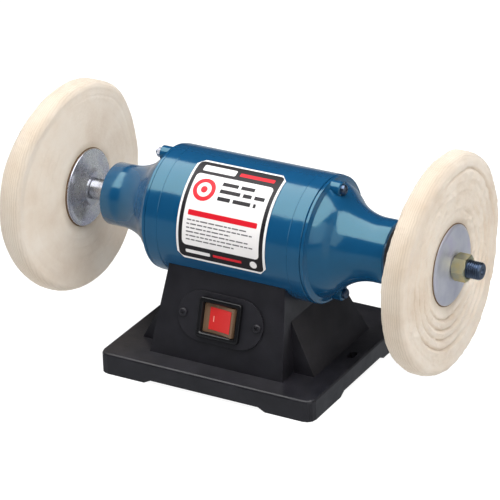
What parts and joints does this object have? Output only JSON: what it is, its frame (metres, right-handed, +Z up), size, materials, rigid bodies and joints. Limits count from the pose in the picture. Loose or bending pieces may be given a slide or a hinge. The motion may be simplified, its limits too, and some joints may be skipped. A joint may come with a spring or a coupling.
{
  "type": "bench buffer",
  "caption": "Double-ended bench polishing machine: motor with tapered end bells on a cast pedestal, a cloth wheel on each spindle end, rocker switch in front",
  "frame": {"origin": "middle of the footprint, on the bench, under the spindle's middle", "axes": "+X along the spindle to the right, -Y towards the switch, +Z up"},
  "size_m": [0.456, 0.2, 0.232],
  "materials": {
    "blue_enamel": "blue gloss enamel on steel and cast iron",
    "black_enamel": "black satin enamel with a fine sand-cast texture",
    "zinc_plate": "bright zinc plate with a faint bluish tint",
    "yellow_zinc": "pale yellow passivated zinc plate",
    "bright_steel": "ground and pressed steel",
    "laminations": "stacked electrical steel sheets",
    "copper_wire": "enamelled copper wire",
    "die_cast": "die-cast aluminium",
    "brass": "plain brass",
    "cotton_cloth": "stitched unbleached cotton cloth",
    "black_rubber": "matte black rubber",
    "black_plastic": "black moulded plastic with a soft shine",
    "red_plastic": "red glossy moulded plastic",
    "grey_plastic": "grey moulded plastic",
    "label_sheet": "white printed plastic sheet with plain blocks and bars"
  },
  "bodies": {
    "housing": {"base_casting": "black_enamel", "bottom_cover": "black_enamel", "cover_screw_1": "zinc_plate", "cover_screw_2": "zinc_plate", "cover_screw_3": "zinc_plate", "cover_screw_4": "zinc_plate", "motor_barrel": "blue_enamel", "left_end_bell": "blue_enamel", "right_end_bell": "blue_enamel", "upper_tie_bolt": "zinc_plate", "lower_tie_bolt": "zinc_plate", "upper_tie_nut": "zinc_plate", "lower_tie_nut": "zinc_plate", "saddle_bolt_1": "zinc_plate", "saddle_bolt_2": "zinc_plate", "saddle_bolt_3": "zinc_plate", "saddle_bolt_4": "zinc_plate", "front_label": "label_sheet", "stator_core": "laminations", "left_stator_winding": "copper_wire", "right_stator_winding": "copper_wire", "wave_washer": "bright_steel", "left_bearing_outer_race": "bright_steel", "right_bearing_outer_race": "bright_steel", "left_dust_seal": "black_rubber", "right_dust_seal": "black_rubber", "switch_plate": "black_enamel", "switch_body": "black_plastic", "plate_screw_1": "black_enamel", "plate_screw_2": "black_enamel", "capacitor": "grey_plastic", "capacitor_clamp": "zinc_plate", "clamp_screw": "zinc_plate", "terminal_block": "grey_plastic", "terminal_block_screw": "zinc_plate", "earth_screw": "brass", "cable_gland": "black_plastic", "gland_locknut": "black_plastic"},
    "spindle": {"spindle_shaft": "bright_steel", "rotor_core": "laminations", "left_rotor_end_ring": "die_cast", "right_rotor_end_ring": "die_cast", "left_bearing_inner_race": "bright_steel", "right_bearing_inner_race": "bright_steel", "left_inner_flange": "zinc_plate", "right_inner_flange": "zinc_plate", "left_outer_flange": "zinc_plate", "right_outer_flange": "zinc_plate", "left_buff_wheel": "cotton_cloth", "right_buff_wheel": "cotton_cloth", "left_spindle_nut": "yellow_zinc", "right_spindle_nut": "yellow_zinc"},
    "left_ball_cage": {"left_bearing_balls": "bright_steel"},
    "right_ball_cage": {"right_bearing_balls": "bright_steel"},
    "rocker": {"switch_rocker": "red_plastic"}
  },
  "joints": [
    {"name": "spindle_spin", "type": "hinge", "parent": "housing", "child": "spindle", "pos_m": [0, 0, 0.132], "axis": [1, 0, 0], "continuous": true},
    {"name": "left_cage_spin", "type": "hinge", "parent": "housing", "child": "left_ball_cage", "pos_m": [0, 0, 0.132], "axis": [1, 0, 0], "continuous": true},
    {"name": "right_cage_spin", "type": "hinge", "parent": "housing", "child": "right_ball_cage", "pos_m": [0, 0, 0.132], "axis": [1, 0, 0], "continuous": true},
    {"name": "rocker_tilt", "type": "hinge", "parent": "housing", "child": "rocker", "pos_m": [0, -0.06268, 0.0619], "axis": [0, 0.3012, 0.9536], "range_deg": [0, 20]}
  ],
  "couplings": [
    {"joint": "left_cage_spin", "follows": "spindle_spin", "ratio": 0.3866},
    {"joint": "right_cage_spin", "follows": "spindle_spin", "ratio": 0.3866}
  ]
}
